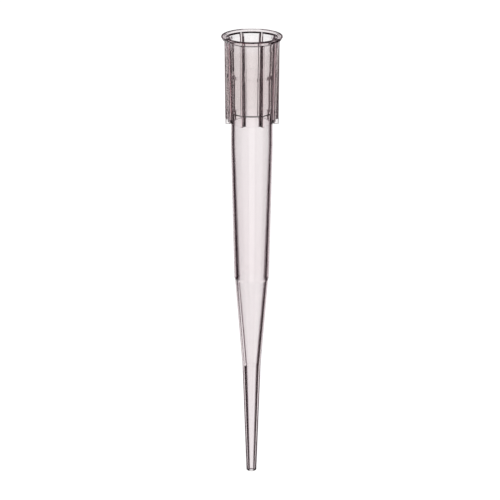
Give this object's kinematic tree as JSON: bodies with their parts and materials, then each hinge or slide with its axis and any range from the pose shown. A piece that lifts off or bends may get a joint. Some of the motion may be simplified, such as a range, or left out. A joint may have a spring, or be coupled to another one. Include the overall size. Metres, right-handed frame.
{
  "type": "pipette tip",
  "caption": "Clear disposable pipette tip with a flared rim, a ribbed hub, a long tapered barrel and a fine end.",
  "frame": {"origin": "on the axis at the top of the sealing land in the hub bore, where the nozzle's end meets the land", "axes": "+Z along the axis, out of the mouth of the hub; a rib gap faces each of +X, +Y, -X and -Y"},
  "size_m": [0.0068, 0.0068, 0.051],
  "materials": {
    "clear_polypropylene": "clear natural polypropylene with a faint mauve tint, smooth as moulded"
  },
  "bodies": {
    "root": {"pipette_tip": "clear_polypropylene"}
  },
  "joints": []
}
